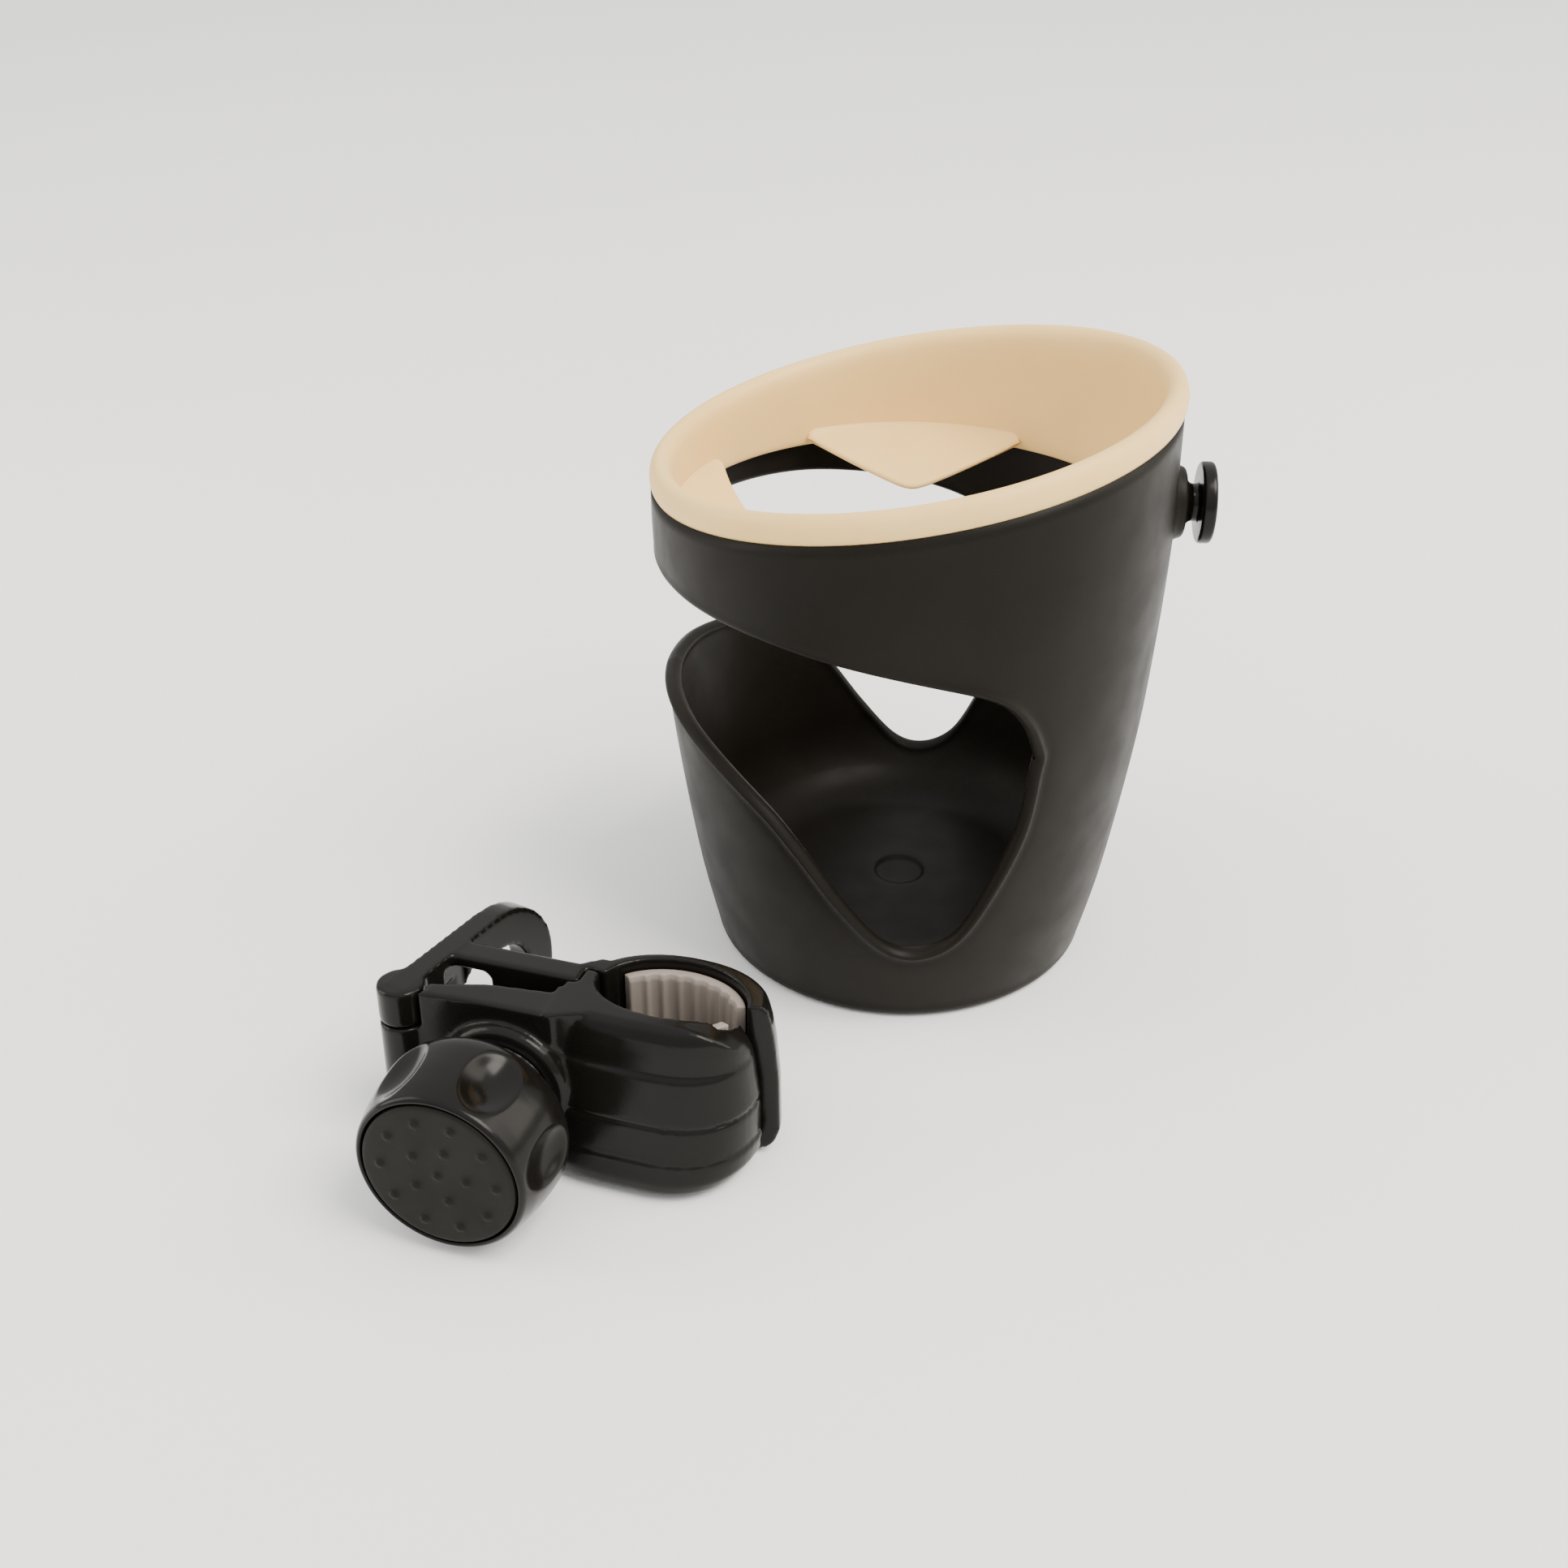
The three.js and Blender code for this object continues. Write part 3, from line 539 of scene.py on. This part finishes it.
KNOB_PROFILE = rounded_profile(
    [(0, 3.05, 0), (14.5, 3.05, 0.25), (14.5, 0.5, 0.25), (14.85, 0.2, 0.15), (15.6, 0.7, 0.5),
     (16.45, 4, 0.8), (17.1, 8, 1.5), (17.42, 12, 1.2), (17.4, 14.4, 1.2), (16.6, 16.8, 1.2),
     (14.4, 19.2, 1.5), (10.5, 20.9, 1.2), (9, 21.5, 0.4), (9, 22.5, 0.3), (0, 22.5, 0)], 5)


SCALLOP_TURN, SCALLOP_STEP = 66, 60       # degrees round the knob
SCALLOP_ALONG = 7.4
SCALLOP_SOFT = 0.22                       # softness of a scallop's edge


def scallop_reach(side, along):
    """Distance from the axis to a thumb scallop's surface, or None where it doesn't reach."""
    centre, deep, length, wide = 20.9, 6.1, 9.4, 7.0
    spare = 1 - ((along - SCALLOP_ALONG) / length) ** 2
    a = (math.cos(side) / deep) ** 2 + (math.sin(side) / wide) ** 2
    b = -2 * math.cos(side) * centre / deep ** 2
    c = (centre / deep) ** 2 - spare
    inside = b * b - 4 * a * c
    return None if inside < 0 else (-b - math.sqrt(inside)) / (2 * a)


def knob_body():
    sides = 360
    dense = resample(np.array(KNOB_PROFILE), 0.32)
    verts = []
    for r, t in dense:
        for k in range(sides):
            a = 2 * math.pi * k / sides
            radius = r
            if t > 0.3 and r > 14.9:
                half = SCALLOP_STEP / 2
                near = (math.degrees(a) - SCALLOP_TURN + half) % SCALLOP_STEP - half
                reach = scallop_reach(math.radians(near), t)
                if reach is not None:
                    gap = max(0.0, 1 - abs(radius - reach) / (4 * SCALLOP_SOFT))
                    radius = min(radius, reach) - SCALLOP_SOFT * gap * gap
            verts.append((radius * math.cos(a), t, radius * math.sin(a)))
    faces = grid_faces(len(dense), sides, wrap_cols=True)
    return make_object("knob_body_skin", in_clamp(verts), faces, GLOSS, merge=0.001)


INSERT_R = 14.15


def bump_places():
    places = [(0.0, 0.0)]
    for count, radius in ((5, 5.3), (10, 10.7)):
        for k in range(count):
            a = 2 * math.pi * k / count
            places.append((radius * math.cos(a), radius * math.sin(a)))
    return places


def knob_insert():
    """The soft disc in the knob's face, with a small round bump at each place."""
    points, height = [], []
    places = bump_places()
    for px, pz in places:
        for r, h in ((0, 0.62), (0.25, 0.59), (0.5, 0.49), (0.72, 0.31), (0.88, 0.1), (1.05, 0.02),
                     (1.35, 0)):
            for k in range(1 if r == 0 else 20):
                a = 2 * math.pi * k / 20
                points.append((px + r * math.cos(a), pz + r * math.sin(a)))
                height.append(h)
    for r, h in ((INSERT_R, -0.55), (INSERT_R - 0.06, -0.3), (INSERT_R - 0.25, -0.08),
                 (INSERT_R - 0.55, 0), (INSERT_R - 1.2, 0)):
        for k in range(120):
            a = 2 * math.pi * k / 120
            points.append((r * math.cos(a), r * math.sin(a)))
            height.append(h)
    for x in np.arange(-13, 13.1, 1.1):
        for z in np.arange(-13, 13.1, 1.1):
            clear = min(math.hypot(x - px, z - pz) for px, pz in places)
            if math.hypot(x, z) < INSERT_R - 1.8 and clear > 1.8:
                points.append((x, z))
                height.append(0)
    flat, _, faces, orig, _, _ = delaunay_2d_cdt([Vector(p) for p in points], [], [], 0, 1e-6)
    verts = [(v[0], 0.12 - height[o[0]], v[1]) for v, o in zip(flat, orig)]
    ring = [(INSERT_R * math.cos(2 * math.pi * k / 120), y, INSERT_R * math.sin(
        2 * math.pi * k / 120)) for y in (0.67, 2.7) for k in range(120)]
    first = len(verts)
    verts += [*ring, (0, 2.7, 0)]
    faces = [tuple(f) for f in faces] + grid_faces(2, 120, wrap_cols=True, start=first)
    faces += [(first + 120 + k, first + 120 + (k + 1) % 120, first + 240) for k in range(120)]
    return make_object("knob_insert_skin", in_clamp(verts), faces, INSERT, merge=0.002)


# ---- assembly ----------------------------------------------------------------------------


def place(obj, body, slot, *nodes):
    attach(obj, body)
    if nodes:
        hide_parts(*nodes)


place(cup_shell(), "cup", "shell_plastic", "cup_shell")
place(stud_boss(), "cup", "shell_plastic")
place(hook_stud(), "stud", "gloss_plastic", "hook_stud")
place(rim_liner(), "cup", "liner_rubber", "rim_liner")
for index, side in enumerate(("rear", "left", "front", "right")):
    flap = grip_flap(f"grip_flap_{side}_skin", 90 * index)
    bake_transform(flap)
    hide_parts(f"grip_flap_{side}")

JAW_VOXEL, JAW_ROUNDS = 0.4, 9
PAD_VOXEL, PAD_ROUNDS = 0.22, 5
place(moulding("fixed_jaw", "fixed_jaw_skin", GLOSS, JAW_VOXEL, JAW_ROUNDS), "clamp_frame",
      "gloss_plastic", "fixed_jaw")
place(moulding("moving_jaw", "moving_jaw_skin", GLOSS, JAW_VOXEL, JAW_ROUNDS), "swing_jaw",
      "gloss_plastic", "moving_jaw")
place(moulding("fixed_pad", "fixed_pad_skin", PAD, PAD_VOXEL, PAD_ROUNDS), "clamp_frame",
      "pad_rubber", "fixed_pad")
place(moulding("moving_pad", "moving_pad_skin", PAD, PAD_VOXEL, PAD_ROUNDS), "swing_jaw",
      "pad_rubber", "moving_pad")
place(knob_body(), "knob", "gloss_plastic", "knob_body")
place(knob_insert(), "knob", "insert_rubber", "knob_insert")

for node in ("hinge_pin", "jaw_nut", "thrust_washer", "clamp_screw", "stud_screw"):
    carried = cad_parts[node]
    carried.data.materials.clear()
    carried.data.materials.append(STEEL)

# ---- floor and light ---------------------------------------------------------------------


FLOOR_HALF = 6.0
FLOOR_BELOW = 0.0002               # keeps the floor's face off the cup's base


def pale_floor():
    mesh = bpy.data.meshes.new("floor")
    far = FLOOR_HALF
    mesh.from_pydata([(-far, -far, 0), (far, -far, 0), (far, far, 0), (-far, far, 0)], [],
                     [(0, 1, 2, 3)])
    floor = bpy.data.objects.new("floor", mesh)
    floor.location.z = -FLOOR_BELOW
    bpy.context.scene.collection.objects.link(floor)
    mat, shader = new_material("floor", 0.9, specular=0.1)
    tone = ramp(mat, noise(mat, 3, 2), [(0.3, (0.86, 0.86, 0.86)), (0.7, (0.88, 0.88, 0.88))])
    mat.node_tree.links.new(tone, shader.inputs["Base Color"])
    mesh.materials.append(mat)


def soft_light(name, at, size, power, target=(0, -0.03, 0.05), color=(1, 1, 1)):
    data = bpy.data.lights.new(name, "AREA")
    data.shape, data.size, data.size_y = "RECTANGLE", *size
    data.energy, data.color = power, color
    lamp = bpy.data.objects.new(name, data)
    lamp.location = at
    lamp.rotation_euler = (Vector(target) - Vector(at)).to_track_quat("-Z", "Y").to_euler()
    bpy.context.scene.collection.objects.link(lamp)


pale_floor()
world = bpy.data.worlds.new("world")
bpy.context.scene.world = world
world.use_nodes = True
background = world.node_tree.nodes["Background"]
background.inputs["Color"].default_value = (1, 1, 1, 1)


def sky_from_horizon(low, high):
    """A sky that is dimmer at the horizon than overhead."""
    nodes, links = world.node_tree.nodes, world.node_tree.links
    coords = nodes.new("ShaderNodeTexCoord")
    split = nodes.new("ShaderNodeSeparateXYZ")
    level = nodes.new("ShaderNodeMapRange")
    level.inputs["From Min"].default_value = 0.05
    level.inputs["From Max"].default_value = 0.9
    level.inputs["To Min"].default_value = low
    level.inputs["To Max"].default_value = high
    links.new(coords.outputs["Generated"], split.inputs["Vector"])
    links.new(split.outputs["Z"], level.inputs["Value"])
    links.new(level.outputs["Result"], background.inputs["Strength"])


sky_from_horizon(0.85, 1.7)
soft_light("key", (1.5, -0.8, 2.6), (1.6, 1.6), 130, color=(1, 0.94, 0.86))
soft_light("left", (-0.9, -0.1, 0.45), (0.4, 0.7), 4, color=(1, 0.93, 0.84))
soft_light("right", (0.8, 0.1, 0.5), (0.4, 0.7), 4, color=(1, 0.93, 0.84))
